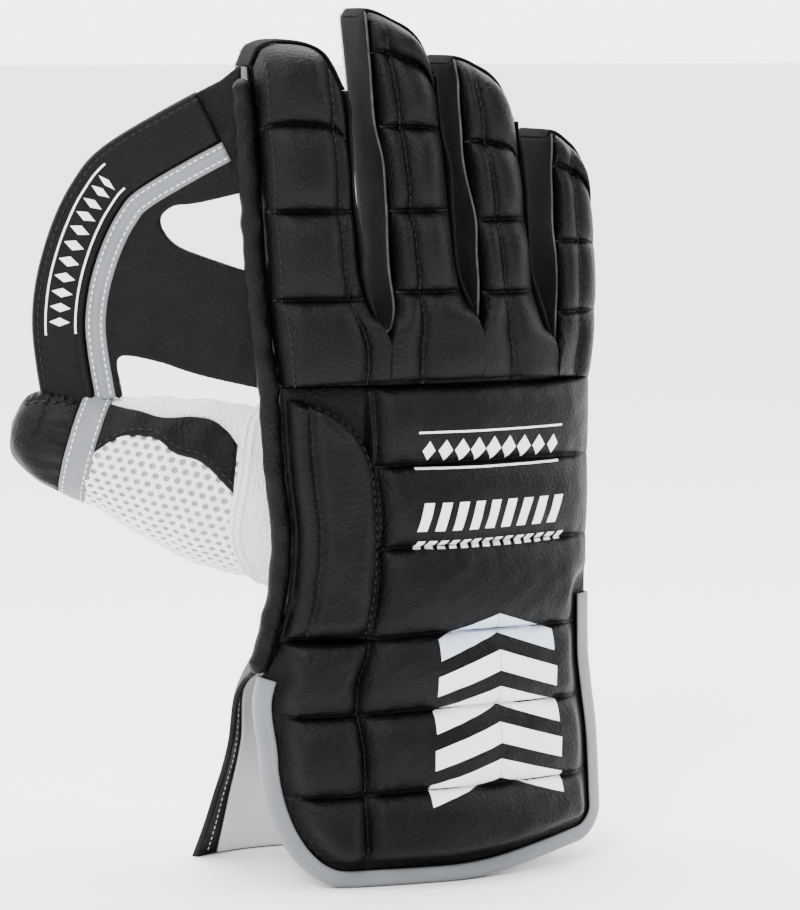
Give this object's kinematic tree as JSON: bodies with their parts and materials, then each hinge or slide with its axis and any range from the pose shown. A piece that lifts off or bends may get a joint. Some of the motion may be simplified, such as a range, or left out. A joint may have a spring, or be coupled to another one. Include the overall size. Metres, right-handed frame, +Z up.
{
  "type": "wicketkeeping glove",
  "caption": "Padded wicketkeeping glove for the right hand, with quilted finger backs, a webbed thumb and a flared open cuff on which it stands.",
  "frame": {"origin": "on the floor, under the centre of the glove's box", "axes": "+X from the thumb side to the little-finger side, +Y from the back of the hand to the palm, +Z up along the fingers"},
  "size_m": [0.2308, 0.0894, 0.3376],
  "materials": {
    "black_leather": "grained black leather, low sheen",
    "palm": "white pimpled palm leather",
    "mesh": "white spacer mesh with round holes",
    "grey_tape": "smooth grey tape",
    "lining": "pale grey lining cloth"
  },
  "bodies": {
    "root": {"back_panel": "black_leather", "side_pad": "black_leather", "index_back": "black_leather", "middle_back": "black_leather", "ring_back": "black_leather", "little_back": "black_leather", "index_side": "black_leather", "little_side": "black_leather", "index_tip": "black_leather", "middle_tip": "black_leather", "ring_tip": "black_leather", "little_tip": "black_leather", "index_middle_gusset": "black_leather", "middle_ring_gusset": "black_leather", "ring_little_gusset": "black_leather", "web_panel": "black_leather", "web_band": "black_leather", "palm_cuff": "black_leather", "edge_roll": "black_leather", "thumb_patch": "black_leather", "thumb_cap": "black_leather", "index_palm": "palm", "middle_palm": "palm", "ring_palm": "palm", "little_palm": "palm", "palm_face": "palm", "thumb_collar": "palm", "thumb_palm": "palm", "thumb_mesh": "mesh", "cuff_binding": "grey_tape", "web_strip": "grey_tape", "thumb_band": "grey_tape", "cuff_lining": "lining"}
  },
  "joints": []
}
